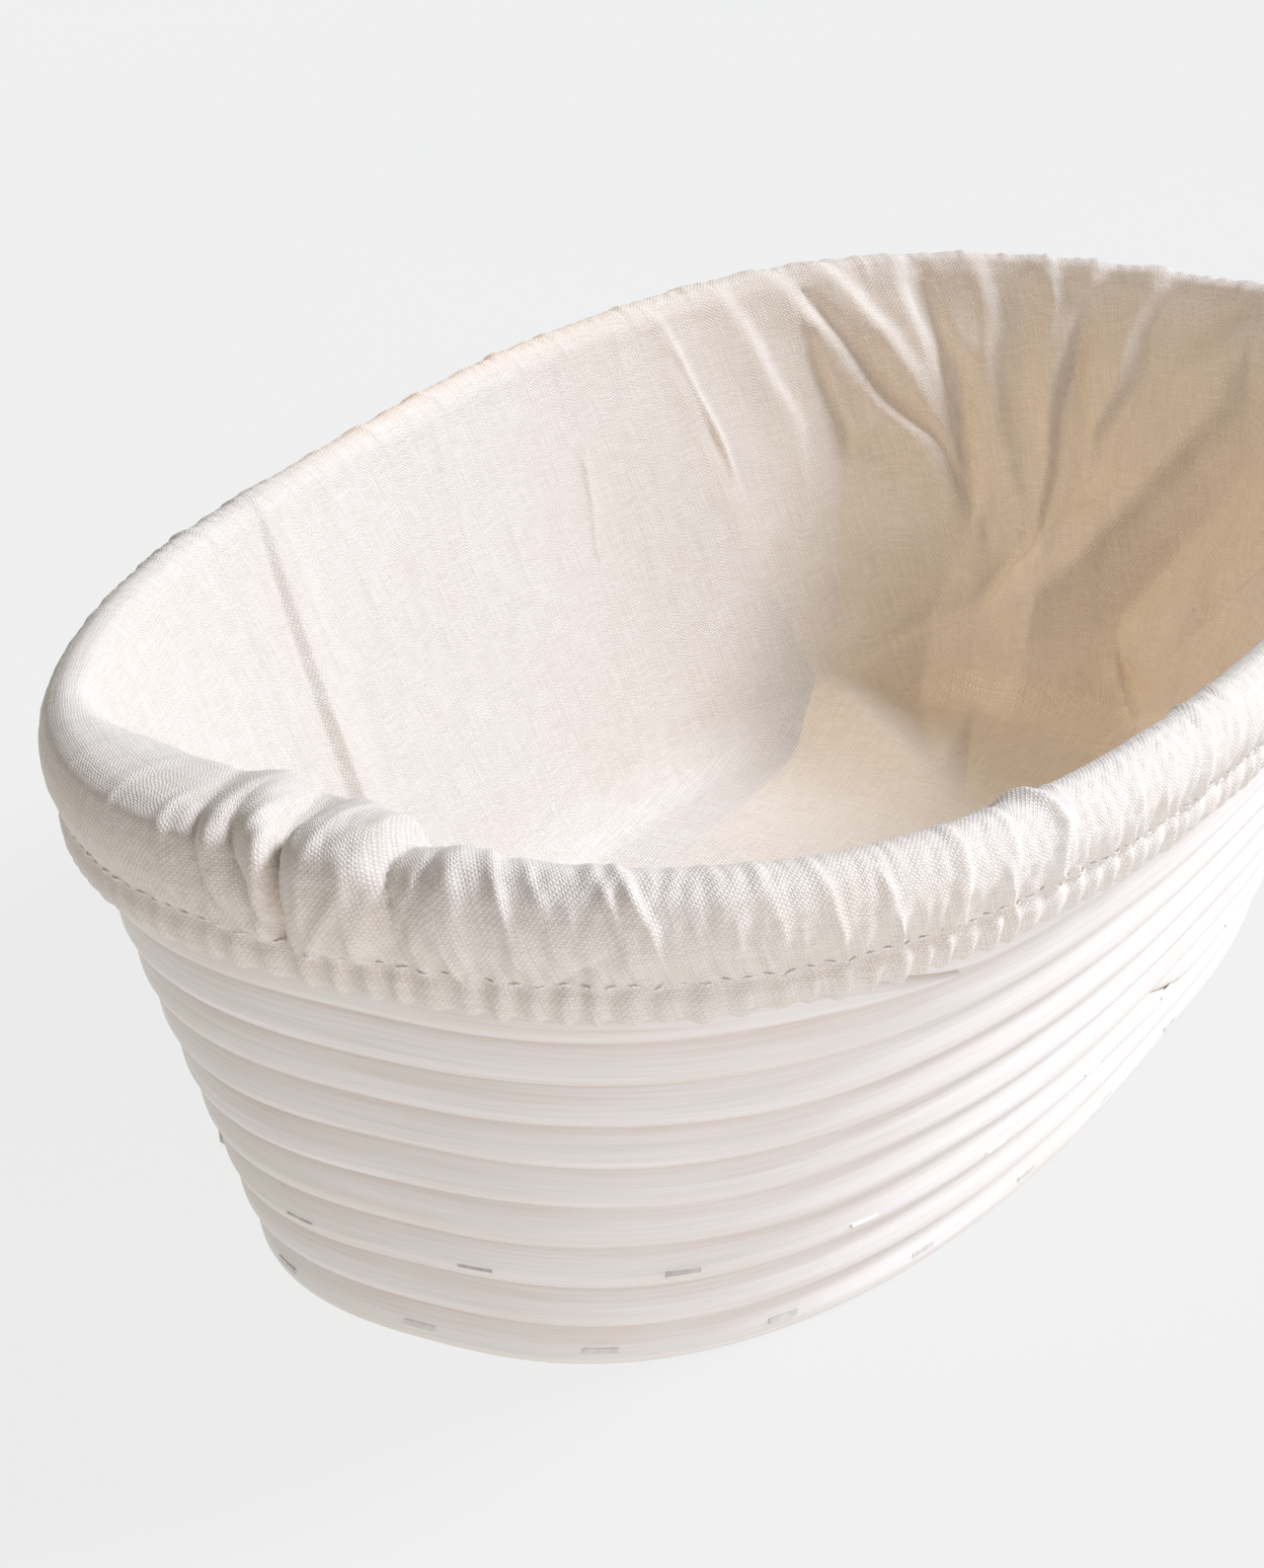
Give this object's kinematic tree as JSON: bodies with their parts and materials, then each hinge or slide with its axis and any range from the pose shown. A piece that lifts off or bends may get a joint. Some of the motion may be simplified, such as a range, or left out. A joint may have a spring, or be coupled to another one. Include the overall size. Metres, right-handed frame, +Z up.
{
  "type": "banneton basket",
  "caption": "Oval proofing basket of coiled rattan cane with flared walls, and a lift-out cloth liner whose elasticated hem folds over the rim.",
  "frame": {"origin": "centre of the underside, on the table", "axes": "+Z up, +X along the basket's length, +Y across it"},
  "size_m": [0.3506, 0.1956, 0.095],
  "materials": {
    "rattan_cane": "satin",
    "staple_wire": "satin",
    "liner_cloth": "matte",
    "elastic_band": "matte",
    "sewing_thread": "matte"
  },
  "bodies": {
    "basket": {"wall_cane_1": "rattan_cane", "wall_cane_2": "rattan_cane", "wall_cane_3": "rattan_cane", "wall_cane_4": "rattan_cane", "wall_cane_5": "rattan_cane", "floor_core_cane": "rattan_cane", "floor_cane_1": "rattan_cane", "floor_cane_2": "rattan_cane", "floor_staples": "staple_wire", "foot_staples": "staple_wire", "third_turn_staples": "staple_wire", "hidden_wall_staples": "staple_wire"},
    "liner": {"liner_pouch": "liner_cloth", "liner_cuff": "liner_cloth", "liner_hem": "liner_cloth", "hem_elastic": "elastic_band", "hem_stitching": "sewing_thread"}
  },
  "joints": [
    {"name": "liner_lift", "type": "slide", "parent": "basket", "child": "liner", "axis": [0, 0, 1], "range_m": [0, 0.12], "deforming": ["liner_cuff", "liner_hem", "hem_elastic", "hem_stitching"]}
  ]
}
